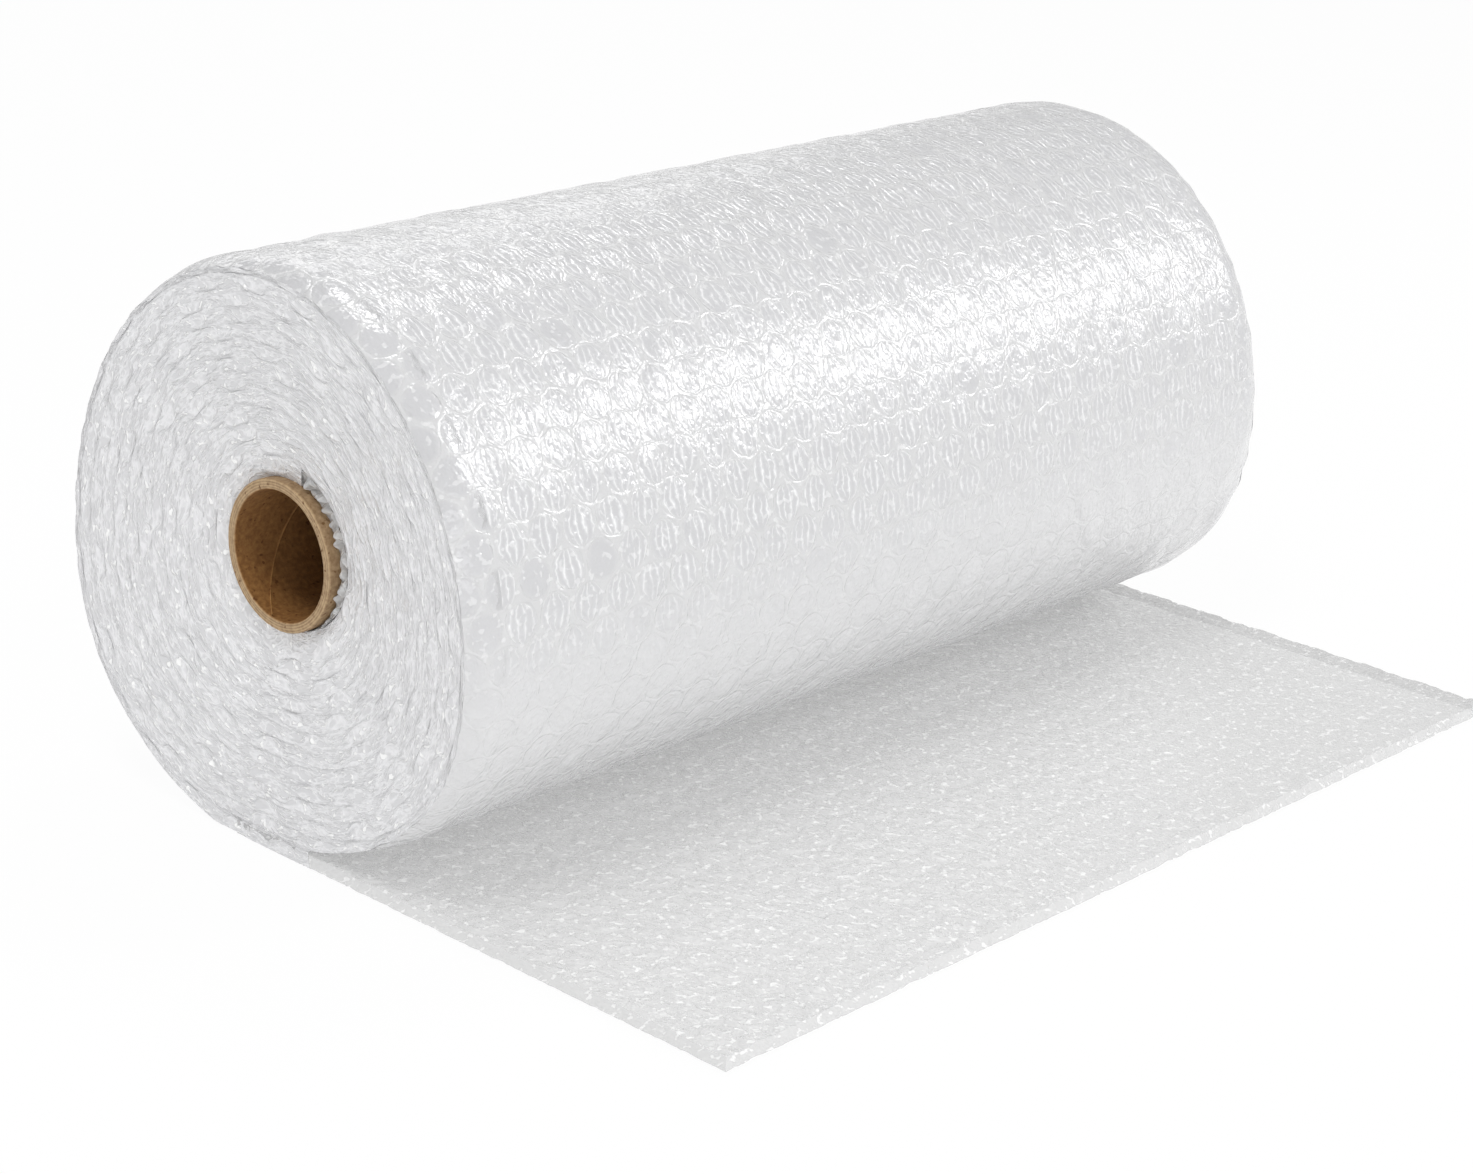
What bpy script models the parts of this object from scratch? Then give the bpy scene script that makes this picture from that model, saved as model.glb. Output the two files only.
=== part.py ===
"""A roll of small-bubble packing film on a cardboard core, lying on its side with its end rolled out.

The frame: X runs along the roll, the free end lies towards -Y, and +Z is up. The origin is on the
floor, under the middle of the roll. Lengths are in metres and angles in radians.

The film is one long sheet. Its smooth side faces out on the roll and down on the floor, and its
bubbles face in and up. It is built as one solid in the order in which a person would meet it: the
bubbled free end, the flat spot under the roll, and then turn after turn down to the core.
"""

import math

import bmesh
import bpy
import numpy as np

# The film
FILM_WIDTH = 0.305
FILM_THICKNESS = 0.0036
WEB_THICKNESS = 0.0010
BUBBLE_PITCH = 0.0105
CROWN_ACROSS = 0.0072
TAIL_REACH = 0.1543

# The roll, sagged under its own weight
ROLL_WIDTH = 0.1476
ROLL_HEIGHT = 0.1448
WIDEST_HEIGHT = 0.0629
SAG_POWER = 2.22
FLAT_SPOT = 0.0350
TURN_GAP = 0.0003
END_DISH = 0.0085
DISH_POWER = 1.5
EDGE_CURL = 0.0020
EDGE_CURL_REACH = 0.0080
EDGE_CURL_RAMP = 0.5
TURN_STEPS = 24

# The core
CORE_ACROSS = 0.0375
CORE_WALL = 0.0026
CORE_SET_IN = 0.0058
CORE_EDGE = 0.0004
CORE_STEPS = 48

FILM_COLOUR = (0.72, 0.73, 0.74, 1.0)
CARD_COLOUR = (0.42, 0.27, 0.13, 1.0)

TURN = 2 * math.pi
WOUND_PITCH = FILM_THICKNESS + TURN_GAP
CORE_RADIUS = CORE_ACROSS / 2
CORE_HEIGHT = ROLL_HEIGHT / 2
LAYERS = (CORE_HEIGHT - CORE_RADIUS) / WOUND_PITCH

# The outline is drawn for the start of the first turn. Half a turn later, at the top, the film has
# come in by half a pitch, so the outline is that much higher and wider than the roll itself.
OUTLINE_CENTRE_Y = -WOUND_PITCH / 4
OUTLINE_HALF_WIDTH = (ROLL_WIDTH + WOUND_PITCH) / 2
OUTLINE_TOP = ROLL_HEIGHT + WOUND_PITCH / 2
FLAT_FROM = OUTLINE_CENTRE_Y - FLAT_SPOT / 2
FLAT_TO = OUTLINE_CENTRE_Y + FLAT_SPOT / 2
FLAT_START = math.atan2(FLAT_FROM, CORE_HEIGHT)
FLAT_END = math.atan2(FLAT_TO, CORE_HEIGHT)


def outline_radius(angle):
    """Distance from the core's centre to the outline, at an angle turned from straight down to +Y.

    The upper half is half an ellipse. The lower half is a fuller curve, a superellipse, which would
    pass below the floor and is cut off there, at the flat spot.
    """
    t = np.linspace(0, TURN, 1441)
    cosine, sine = np.cos(t), np.sin(t)
    lower = sine < 0
    power = np.where(lower, 2 / SAG_POWER, 1)
    depth = WIDEST_HEIGHT / (1 - (FLAT_SPOT / 2 / OUTLINE_HALF_WIDTH) ** SAG_POWER) ** (1 / SAG_POWER)
    reach = np.where(lower, depth, OUTLINE_TOP - WIDEST_HEIGHT)
    y = OUTLINE_CENTRE_Y + OUTLINE_HALF_WIDTH * np.sign(cosine) * np.abs(cosine) ** power
    z = WIDEST_HEIGHT + reach * np.sign(sine) * np.abs(sine) ** power - CORE_HEIGHT
    around = np.unwrap(np.arctan2(y, -z))
    order = np.argsort(around % TURN)
    radius = np.interp(angle % TURN, around[order] % TURN, np.hypot(y, z)[order], period=TURN)
    downward = math.cos(angle)
    return min(radius, CORE_HEIGHT / downward) if downward > 0 else radius


def layers_in(angle):
    """How many layers lie outside the film at an angle wound since the first turn's lowest point.

    Each turn comes in by one layer between leaving the flat spot and coming back to it.
    """
    whole = math.floor((angle - FLAT_START) / TURN)
    since = angle - whole * TURN
    return whole + max(0, (since - FLAT_END) / (TURN + FLAT_START - FLAT_END))


def film_radius(angle, layers):
    """The place of a layer on its way from the outline, where layers is 0, to the core."""
    outline = outline_radius(angle)
    return outline - (outline - CORE_RADIUS) * layers / LAYERS


def film_end():
    """The angle at which the film's inner end lies flat on the core."""
    layers = LAYERS - 1
    share = layers - math.floor(layers)
    return math.floor(layers) * TURN + FLAT_END + share * (TURN + FLAT_START - FLAT_END)


def station_angles():
    """The angles of the film's sections: both ends and the middle of the flat spot, then even steps."""
    rest = np.linspace(FLAT_END, TURN + FLAT_START, TURN_STEPS)[:-1]
    one_turn = np.concatenate([[FLAT_START, 0], rest])
    end = film_end()
    turns = np.concatenate([one_turn + TURN * turn for turn in range(math.ceil(LAYERS) + 1)])
    return [angle for angle in turns if angle < end - 0.02] + [end]


def edge_curl(angle):
    """How far the outermost turn's cut edges are turned in. It fades out on its way to the flat spot."""
    clear = min(angle - FLAT_END, TURN + FLAT_START - angle)
    return EDGE_CURL * min(max(clear / EDGE_CURL_RAMP, 0), 1)


def section(angle):
    """The film's section as corners: the outer face from -X to +X, then the inner face from +X to -X.

    The outer face has two corners, and on the outermost turn four, because its edges are turned in.
    """
    layers = layers_in(angle)
    outer = film_radius(angle, layers)
    inner = film_radius(angle, layers + 1) + TURN_GAP
    half = FILM_WIDTH / 2 - END_DISH * (layers / LAYERS) ** DISH_POWER
    outer_face = [(-half, outer), (half, outer)]
    if angle < TURN:
        curled = outer - edge_curl(angle)
        straight = half - EDGE_CURL_REACH
        outer_face = [(-half, curled), (-straight, outer), (straight, outer), (half, curled)]
    corners = []
    for x, radius in (*outer_face, (half, inner), (-half, inner)):
        corners.append((x, radius * math.sin(angle), CORE_HEIGHT - radius * math.cos(angle)))
    return corners


def add_bubbles(mesh):
    """The bubbled top of the free end: rows of six-sided crowns that stand on a honeycomb of valleys.

    Rows run along X and lie half a pitch out of step. The four cuts go through crowns, as the knife
    does on the real film. Heights at the flat spot rise to the full thickness, to meet the roll.
    """
    across = round(FILM_WIDTH / BUBBLE_PITCH)
    pitch = FILM_WIDTH / across
    tail_length = TAIL_REACH + FLAT_FROM
    rows = round(tail_length / (pitch * math.sqrt(3) / 2))
    third = tail_length / rows / 3
    crown = CROWN_ACROSS / 2 / (pitch / math.sqrt(3))
    ring = ((0, 2), (1, 1), (1, -1), (0, -2), (-1, -1), (-1, 1))
    valleys = {}

    def place(column, step, height):
        return (column * pitch / 2 - FILM_WIDTH / 2, FLAT_FROM - step * third, height)

    for row in range(rows + 1):
        for column in range(row % 2, 2 * across + 1, 2):
            top, foot = [], []
            for sideways, along in ring:
                high = place(column + crown * sideways, 3 * row + crown * along, FILM_THICKNESS)
                top.append(mesh.verts.new(high))
                key = (column + sideways, 3 * row + along)
                if key not in valleys:
                    valleys[key] = mesh.verts.new(place(*key, WEB_THICKNESS))
                foot.append(valleys[key])
            mesh.faces.new(top)
            for i in range(6):
                j = (i + 1) % 6
                mesh.faces.new((top[j], top[i], foot[i], foot[j]))
    cuts = (
        ((-FILM_WIDTH / 2, 0, 0), (-1, 0, 0)),
        ((FILM_WIDTH / 2, 0, 0), (1, 0, 0)),
        ((0, FLAT_FROM, 0), (0, 1, 0)),
        ((0, -TAIL_REACH, 0), (0, -1, 0)),
    )
    for point, normal in cuts:
        everything = mesh.verts[:] + mesh.edges[:] + mesh.faces[:]
        bmesh.ops.bisect_plane(
            mesh, geom=everything, dist=1e-6, plane_co=point, plane_no=normal, clear_outer=True
        )
    for vert in mesh.verts:
        if abs(vert.co.y - FLAT_FROM) < 1e-6:
            vert.co.z = FILM_THICKNESS


def edge_row(mesh, axis, value, sort_axis):
    """The vertices on one straight cut, in order along it."""
    found = [vert for vert in mesh.verts if abs(vert.co[axis] - value) < 1e-6]
    return sorted(found, key=lambda vert: vert.co[sort_axis])


def build_film():
    mesh = bmesh.new()
    add_bubbles(mesh)
    near = edge_row(mesh, 0, -FILM_WIDTH / 2, 1)
    far = edge_row(mesh, 0, FILM_WIDTH / 2, 1)
    front = edge_row(mesh, 1, -TAIL_REACH, 0)
    joint = edge_row(mesh, 1, FLAT_FROM, 0)

    # The smooth underside and the cut walls of the free end
    floor = {}
    for side, x in ((-1, -FILM_WIDTH / 2), (1, FILM_WIDTH / 2)):
        for y in (-TAIL_REACH, FLAT_FROM):
            floor[side, y] = mesh.verts.new((x, y, 0))
    near_front, near_back = floor[-1, -TAIL_REACH], floor[-1, FLAT_FROM]
    far_front, far_back = floor[1, -TAIL_REACH], floor[1, FLAT_FROM]
    mesh.faces.new((near_front, near_back, far_back, far_front))
    mesh.faces.new([near_back, near_front, *near])
    mesh.faces.new([far_front, far_back, *reversed(far)])
    mesh.faces.new([near_front, far_front, *reversed(front)])

    # The turns, one section after another, starting from the free end's last row
    last_outer, last_inner = [near_back, far_back], joint
    for angle in station_angles()[1:]:
        corners = [mesh.verts.new(corner) for corner in section(angle)]
        outer, inner = corners[:-2], [corners[-1], corners[-2]]
        if len(outer) == len(last_outer):
            for i in range(1, len(outer)):
                mesh.faces.new((last_outer[i - 1], outer[i - 1], outer[i], last_outer[i]))
        else:
            mesh.faces.new([*outer, *reversed(last_outer)])
        mesh.faces.new((last_outer[-1], outer[-1], inner[-1], last_inner[-1]))
        mesh.faces.new([inner[0], *last_inner, inner[-1]])
        mesh.faces.new((last_inner[0], inner[0], outer[0], last_outer[0]))
        last_outer, last_inner = outer, inner
    mesh.faces.new([*last_outer, last_inner[-1], last_inner[0]])
    bmesh.ops.recalc_face_normals(mesh, faces=mesh.faces)
    return mesh


def build_core():
    """The cardboard tube, turned about X: a wall with slightly softened edges at both ends."""
    mesh = bmesh.new()
    outer, inner = CORE_RADIUS, CORE_RADIUS - CORE_WALL
    end = FILM_WIDTH / 2 - CORE_SET_IN
    half_profile = [
        (end - CORE_EDGE, outer),
        (end, outer - CORE_EDGE),
        (end, inner + CORE_EDGE),
        (end - CORE_EDGE, inner),
    ]
    profile = [(-x, r) for x, r in reversed(half_profile)] + half_profile
    verts = [mesh.verts.new((x, 0, CORE_HEIGHT + radius)) for x, radius in profile]
    edges = [mesh.edges.new((verts[i - 1], verts[i])) for i in range(len(verts))]
    bmesh.ops.spin(
        mesh,
        geom=verts + edges,
        cent=(0, 0, CORE_HEIGHT),
        axis=(1, 0, 0),
        angle=TURN,
        steps=CORE_STEPS,
        use_merge=True,
    )
    bmesh.ops.remove_doubles(mesh, verts=mesh.verts, dist=1e-6)
    bmesh.ops.recalc_face_normals(mesh, faces=mesh.faces)
    return mesh


def material(name, colour, roughness):
    made = bpy.data.materials.new(name)
    made.use_nodes = True
    shader = made.node_tree.nodes["Principled BSDF"]
    shader.inputs["Base Color"].default_value = colour
    shader.inputs["Roughness"].default_value = roughness
    shader.inputs["Metallic"].default_value = 0
    return made


def add_object(name, mesh, finish, smooth_under):
    data = bpy.data.meshes.new(name)
    mesh.to_mesh(data)
    mesh.free()
    data.shade_smooth()
    data.set_sharp_from_angle(angle=math.radians(smooth_under))
    data.materials.append(finish)
    made = bpy.data.objects.new(name, data)
    bpy.context.scene.collection.objects.link(made)
    return made


def main():
    for old in list(bpy.data.objects):
        bpy.data.objects.remove(old, do_unlink=True)
    add_object("bubble_film", build_film(), material("polyethylene_film", FILM_COLOUR, 0.25), 35)
    add_object("core_tube", build_core(), material("kraft_board", CARD_COLOUR, 0.8), 30)


main()
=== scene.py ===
# %% [markdown]
# # A roll of bubble film
#
# This script dresses a plain CAD model of a short roll of air-bubble packing film. The real thing
# is two clear films. One is flat. The other is sucked into round cups while it is hot, and welded
# to the flat one, so that each cup holds its air. The sheet is then wound on a cardboard core.
#
# The whole look comes from that one sheet, so the script first works out where the sheet lies in
# space. After that, each visible stretch of it is made with one function that takes a place on the
# flat sheet and gives back the same place on the roll.

# %% Load the frame
import math

import bpy
import numpy as np
from mathutils import Matrix, Vector


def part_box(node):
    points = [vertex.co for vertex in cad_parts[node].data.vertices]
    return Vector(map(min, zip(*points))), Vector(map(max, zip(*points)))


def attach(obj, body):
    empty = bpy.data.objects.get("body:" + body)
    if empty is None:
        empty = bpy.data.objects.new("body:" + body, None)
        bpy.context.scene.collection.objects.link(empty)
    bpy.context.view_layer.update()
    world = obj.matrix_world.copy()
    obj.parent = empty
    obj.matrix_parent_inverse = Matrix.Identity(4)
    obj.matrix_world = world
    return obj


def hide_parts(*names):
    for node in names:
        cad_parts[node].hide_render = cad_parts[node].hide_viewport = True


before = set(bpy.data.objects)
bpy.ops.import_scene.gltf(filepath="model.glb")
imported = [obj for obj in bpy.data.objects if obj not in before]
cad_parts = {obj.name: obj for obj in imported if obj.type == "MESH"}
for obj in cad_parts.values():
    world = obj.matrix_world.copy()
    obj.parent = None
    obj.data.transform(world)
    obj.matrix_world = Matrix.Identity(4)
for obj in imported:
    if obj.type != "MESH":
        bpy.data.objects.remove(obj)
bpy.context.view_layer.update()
print("CAD nodes:", ", ".join(sorted(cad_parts)))

# %% [markdown]
# ## Camera
#
# A camera is a place, a direction and a lens. It could be pointed at the roll with a constraint, but
# a photographer rarely aims at the exact middle of a thing. So these values were fitted to the
# photograph's corners and edges. The direction is a heading, a downward tilt and a small roll, and
# is turned into the three axes that Blender's camera wants: right, up, and backwards.

# %% Camera
CAMERA_PLACE = (-0.61615, -0.56976, 0.33615)
CAMERA_HEADING = math.radians(47.90)
CAMERA_TILT = math.radians(20.01)
CAMERA_ROLL = math.radians(2.697)
CAMERA_LENS = 80.75  # in mm, on Blender's usual 36 mm sensor

ahead = Vector((
    math.sin(CAMERA_HEADING) * math.cos(CAMERA_TILT),
    math.cos(CAMERA_HEADING) * math.cos(CAMERA_TILT),
    -math.sin(CAMERA_TILT),
))
level_right = Vector((math.cos(CAMERA_HEADING), -math.sin(CAMERA_HEADING), 0))
level_up = level_right.cross(ahead)
right = level_right * math.cos(CAMERA_ROLL) + level_up * math.sin(CAMERA_ROLL)
up = level_up * math.cos(CAMERA_ROLL) - level_right * math.sin(CAMERA_ROLL)
camera_data = bpy.data.cameras.new("camera")
camera_data.lens = CAMERA_LENS
camera = bpy.data.objects.new("camera", camera_data)
bpy.context.scene.collection.objects.link(camera)
turned = Matrix((right, up, -ahead)).transposed()
camera.matrix_world = Matrix.Translation(CAMERA_PLACE) @ turned.to_4x4()
bpy.context.scene.camera = camera
print("camera looks along", [round(part, 3) for part in ahead])

# %% [markdown]
# ## Small helpers for materials
#
# Colours are given as sRGB hex values, but shaders work in linear light, so one function turns
# one into the other. A second one adds any shader node, with its settings and its links, in one
# call. With those two, a material reads as a list of what it is made of. Most patterns here start
# from random blotches, so a third one draws those at a real size in metres.

# %% Material helpers
SMOOTH = {"interpolation_type": "SMOOTHSTEP"}
COLOURS = {"output": 2, "data_type": "RGBA"}  # a Mix node's colours go in at 6 and 7, out at 2


def linear(hex_colour):
    """An sRGB hex colour such as "C8A070" as linear red, green, blue and an alpha of 1."""
    parts = [int(hex_colour[i:i + 2], 16) / 255 for i in (0, 2, 4)]
    return (*[p / 12.92 if p <= 0.04045 else ((p + 0.055) / 1.055) ** 2.4 for p in parts], 1.0)


def add(material, kind, inputs=(), output=0, **settings):
    """Adds a node of any kind, sets it up, and gives one of its outputs, or all for output=None.

    inputs gives sockets their value, or the output that feeds them. It is a dict by name or number,
    or just the first few in order.
    """
    tree = material.node_tree
    node = tree.nodes.new("ShaderNode" + kind)
    for name, value in settings.items():
        setattr(node, name, value)
    named = inputs if isinstance(inputs, dict) else dict(enumerate(inputs))
    for socket, value in named.items():
        if isinstance(value, bpy.types.NodeSocket):
            tree.links.new(value, node.inputs[socket])
        else:
            node.inputs[socket].default_value = value
    return node.outputs if output is None else node.outputs[output]


def blotches(material, place, size, detail=2.0, stretch=(1, 1, 1)):
    """Random values from 0 to 1 in blotches about size metres wide, times stretch.

    The place is divided by size and stretch, and a noise with features one unit wide is read there.
    """
    scale = [1 / (size * part) for part in stretch]
    scaled = add(material, "Mapping", {"Vector": place, "Scale": scale})
    return add(material, "TexNoise", {
        "Vector": scaled,
        "Scale": 1.0,
        "Detail": detail,
        "Roughness": 0.55,
    })


def new_material(name):
    """A material with an empty node tree."""
    material = bpy.data.materials.new(name)
    material.use_nodes = True
    material.node_tree.nodes.clear()
    return material


# %% [markdown]
# ## Where the sheet lies
#
# A wound sheet is a spiral. Here the spiral isn't round, because a soft roll sags: its top is half
# an ellipse, its lower half is a fuller curve, and it stands on a flat spot. It could be simulated
# as cloth, but 4 m of film in 13 turns would take very long to settle, and a formula gives the same
# smooth shape at once. The formulas are those of the CAD model. They give the smooth side of the
# film at any angle, and adding up the small steps between those places gives the length of film
# wound so far.
#
# So a place on the sheet is three numbers: how far across the roll, how far along from the free
# edge, and how high above the smooth side. Everything below is made in those numbers.

# %% The roll's sizes
film_low, film_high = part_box("bubble_film")
core_low, core_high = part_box("core_tube")
FILM_WIDTH = film_high.x - film_low.x
TAIL_REACH = -film_low.y
ROLL_WIDTH = 0.1476
ROLL_HEIGHT = 0.1448
WIDEST_HEIGHT = 0.0629
SAG_POWER = 2.22
FLAT_SPOT = 0.0350
FILM_THICKNESS = 0.0036
TURN_GAP = 0.0003
END_DISH = 0.0085
DISH_POWER = 1.5
CORE_RADIUS = (core_high.z - core_low.z) / 2

TURN = 2 * math.pi
WOUND_PITCH = FILM_THICKNESS + TURN_GAP
CORE_HEIGHT = ROLL_HEIGHT / 2
LAYERS = (CORE_HEIGHT - CORE_RADIUS) / WOUND_PITCH
print(f"room for {LAYERS:.1f} layers, each {WOUND_PITCH * 1000:.1f} mm thick with its air")

# %% The outline
OUTLINE_CENTRE_Y = -WOUND_PITCH / 4
OUTLINE_HALF_WIDTH = (ROLL_WIDTH + WOUND_PITCH) / 2
OUTLINE_TOP = ROLL_HEIGHT + WOUND_PITCH / 2
OUTLINE_POINTS = 1441
FLAT_FROM = OUTLINE_CENTRE_Y - FLAT_SPOT / 2
FLAT_TO = OUTLINE_CENTRE_Y + FLAT_SPOT / 2
FLAT_START = math.atan2(FLAT_FROM, CORE_HEIGHT)
FLAT_END = math.atan2(FLAT_TO, CORE_HEIGHT)
NEARLY_NOTHING = 1e-6


def outline_radius(angle):
    """Distance from the core's centre to the outline, at angles turned from straight down to +Y.

    Above the widest height it is half an ellipse. Below, it is a superellipse, cut off at the floor.
    """
    t = np.linspace(0, TURN, OUTLINE_POINTS)
    cosine, sine = np.cos(t), np.sin(t)
    lower = sine < 0
    power = np.where(lower, 2 / SAG_POWER, 1)
    depth = WIDEST_HEIGHT / (1 - (FLAT_SPOT / 2 / OUTLINE_HALF_WIDTH) ** SAG_POWER) ** (1 / SAG_POWER)
    reach = np.where(lower, depth, OUTLINE_TOP - WIDEST_HEIGHT)
    y = OUTLINE_CENTRE_Y + OUTLINE_HALF_WIDTH * np.sign(cosine) * np.abs(cosine) ** power
    z = WIDEST_HEIGHT + reach * np.sign(sine) * np.abs(sine) ** power - CORE_HEIGHT
    around = np.arctan2(y, -z) % TURN
    order = np.argsort(around)
    radius = np.interp(angle % TURN, around[order], np.hypot(y, z)[order], period=TURN)
    downward = np.cos(angle)
    to_floor = CORE_HEIGHT / np.maximum(downward, NEARLY_NOTHING)
    return np.where(downward > 0, np.minimum(radius, to_floor), radius)


print(f"outline {outline_radius(math.pi) * 1000:.1f} mm from the core's centre at its top")

# %% The spiral
def layers_in(angle):
    """How many layers lie outside the film. It comes in by one between two visits to the flat spot."""
    whole = np.floor((angle - FLAT_START) / TURN)
    since = angle - whole * TURN
    return whole + np.maximum(0, (since - FLAT_END) / (TURN + FLAT_START - FLAT_END))


def film_radius(angle, layers):
    """A layer's place on its way from the outline, where layers is 0, to the core."""
    outline = outline_radius(angle)
    return outline - (outline - CORE_RADIUS) * layers / LAYERS


INNER_END_LAYERS = LAYERS - 1
end_share = INNER_END_LAYERS - math.floor(INNER_END_LAYERS)
INNER_END_ANGLE = (
    math.floor(INNER_END_LAYERS) * TURN + FLAT_END + end_share * (TURN + FLAT_START - FLAT_END)
)
print(f"the film ends after {INNER_END_LAYERS:.1f} turns")

# %% The film's path
PATH_LEAD = 0.02  # the path starts this far before the free edge, for cells that reach past it
PATH_STEP = 0.001
PATH_TURN_STEP = math.radians(0.5)

wound_angles = np.arange(FLAT_START, INNER_END_ANGLE, PATH_TURN_STEP)
wound_radii = film_radius(wound_angles, layers_in(wound_angles))
tail_y = np.arange(-TAIL_REACH - PATH_LEAD, FLAT_FROM, PATH_STEP)
PATH_Y = np.concatenate([tail_y, wound_radii * np.sin(wound_angles)])
PATH_Z = np.concatenate([0 * tail_y, CORE_HEIGHT - wound_radii * np.cos(wound_angles)])
path_steps = np.hypot(np.diff(PATH_Y), np.diff(PATH_Z))
PATH_ALONG = np.concatenate([[0], np.cumsum(path_steps)]) - PATH_LEAD
WOUND_ALONG = PATH_ALONG[len(tail_y):]
slope_y = np.gradient(PATH_Y, PATH_ALONG)
slope_z = np.gradient(PATH_Z, PATH_ALONG)
slope = np.hypot(slope_y, slope_z)
PATH_IN_Y = -slope_z / slope
PATH_IN_Z = slope_y / slope
FREE_LENGTH = TAIL_REACH + FLAT_FROM


def along_at(angle):
    """How far along the sheet the film is at a wound angle."""
    return np.interp(angle, wound_angles, WOUND_ALONG)


def angle_at(along):
    """The wound angle at a place along the sheet."""
    return np.interp(along, WOUND_ALONG, wound_angles)


def place_on_roll(across, along, height):
    """A place on the sheet as a place in space: the path's point, plus the height times the normal."""
    y = np.interp(along, PATH_ALONG, PATH_Y) + height * np.interp(along, PATH_ALONG, PATH_IN_Y)
    z = np.interp(along, PATH_ALONG, PATH_Z) + height * np.interp(along, PATH_ALONG, PATH_IN_Z)
    return np.stack([across + 0 * y, y, z], axis=-1)


print(f"{PATH_ALONG[-1]:.2f} m of film, {FREE_LENGTH * 1000:.0f} mm of it free")

# %% [markdown]
# ## The pattern of bubbles
#
# The bubbles sit like coins packed on a table: rows across the sheet, each row half a pitch out of
# step with the next, so each bubble owns a six-sided cell. They could be copies of one object, but
# then each would stay a separate lump on the sheet. So one cell is drawn once, as rings of points,
# and copied to every bubble with a single numpy sum. Neighbouring cells share the points on their
# six-sided border, and those are merged, so that the film is one surface. The knife's cuts pass
# through bubble centres or between bubbles, where the cell has points, so a cut only has to leave
# out the faces beyond it.

# %% One cell
BUBBLES_ACROSS = 29
FREE_ROWS = 15
BUBBLE_PITCH = FILM_WIDTH / BUBBLES_ACROSS
ROW_PITCH = FREE_LENGTH / FREE_ROWS
BUBBLE_RADIUS = 0.44 * BUBBLE_PITCH
WELD_RADIUS = 1.05 * BUBBLE_RADIUS


def border_points(steps):
    """The cell's six-sided border as points in even steps along its sides, pointed along the sheet."""
    corner = np.radians(np.arange(7) * 60 - 30)
    corners = np.stack([np.cos(corner) * 2 / math.sqrt(3), np.sin(corner) * 4 / 3], axis=-1)
    corners *= (BUBBLE_PITCH / 2, ROW_PITCH / 2)
    share = np.arange(steps) * 6 / steps + 0.5
    side = np.floor(share).astype(int) % 6
    part = (share - np.floor(share))[:, None]
    return corners[side] * (1 - part) + corners[side + 1] * part


def cell_template(radii, steps):
    """One cell: the middle, then a ring at each radius, then the border. Gives places and triangles.

    Ring points stand at even angles, and each is joined to its two neighbours on the next ring.
    """
    turn = np.arange(steps) * TURN / steps
    circle = np.stack([np.cos(turn), np.sin(turn)], axis=-1)
    rings = [circle * radius for radius in radii] + [border_points(steps)]
    places = np.concatenate([np.zeros((1, 2)), *rings])
    here = np.arange(steps)
    after = (here + 1) % steps
    faces = [np.stack([0 * here, 1 + here, 1 + after], axis=-1)]
    for ring in range(len(rings) - 1):
        inner, outer = 1 + ring * steps, 1 + (ring + 1) * steps
        faces.append(np.stack([inner + here, outer + here, outer + after], axis=-1))
        faces.append(np.stack([inner + here, outer + after, inner + after], axis=-1))
    return places, np.concatenate(faces)


print(f"bubbles {BUBBLE_PITCH * 1000:.2f} mm apart, rows {ROW_PITCH * 1000:.2f} mm apart")

# %% A sheet of cells
MERGE_STEPS = 1e6  # points in the same cubic micrometre become one
generator = np.random.default_rng(7)


def bubble_centres(first_row, last_row):
    """Every bubble centre of these rows, as places on the sheet, with half bubbles on the cuts."""
    rows, columns = np.meshgrid(np.arange(first_row, last_row + 1), np.arange(BUBBLES_ACROSS + 1))
    across = (columns + rows % 2 / 2) * BUBBLE_PITCH - FILM_WIDTH / 2
    kept = across < FILM_WIDTH / 2 + BUBBLE_PITCH / 4
    return np.stack([across[kept], rows[kept] * ROW_PITCH], axis=-1)


def bubble_sheet(centres, radii, heights, steps, from_along, to_along):
    """Cells on all centres as one surface on the flat sheet: (across, along, height) and triangles.

    heights has a row per bubble and a column per ring, with the middle first and the border last.
    The third result is what the film's material draws its bubbles with: for each triangle's
    corners, the place inside its own bubble in weld radii, and the bubble's own random number.
    """
    template, faces = cell_template(radii, steps)
    ring_of = np.concatenate([[0], np.repeat(np.arange(1, len(radii) + 2), steps)])
    flat = centres[:, None, :] + template[None]
    points = np.concatenate([flat, heights[:, ring_of][..., None]], axis=-1).reshape(-1, 3)
    cells = np.arange(len(centres))[:, None, None] * len(template)
    triangles = (faces[None] + cells).reshape(-1, 3)
    owner = np.repeat(np.arange(len(centres)), len(faces))
    middle = points[triangles].mean(axis=1)
    inside = (np.abs(middle[:, 0]) < FILM_WIDTH / 2) & (middle[:, 1] > from_along)
    inside &= middle[:, 1] < to_along
    triangles, owner = triangles[inside], owner[inside]
    local = (points[triangles][..., :2] - centres[owner][:, None]) / WELD_RADIUS
    own_number = generator.uniform(0, 1, len(centres))[owner][:, None, None]
    own_number = np.broadcast_to(own_number, local[..., :1].shape)
    key = np.round(points * MERGE_STEPS).astype(np.int64)
    _, first, same = np.unique(key, axis=0, return_index=True, return_inverse=True)
    triangles = same.reshape(-1)[triangles]
    used, triangles = np.unique(triangles, return_inverse=True)
    return points[first[used]], triangles.reshape(-1, 3), np.concatenate([local, own_number], axis=-1)


print(f"{len(bubble_centres(0, 0))} bubbles in a row, counting the halves on the cuts")

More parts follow.
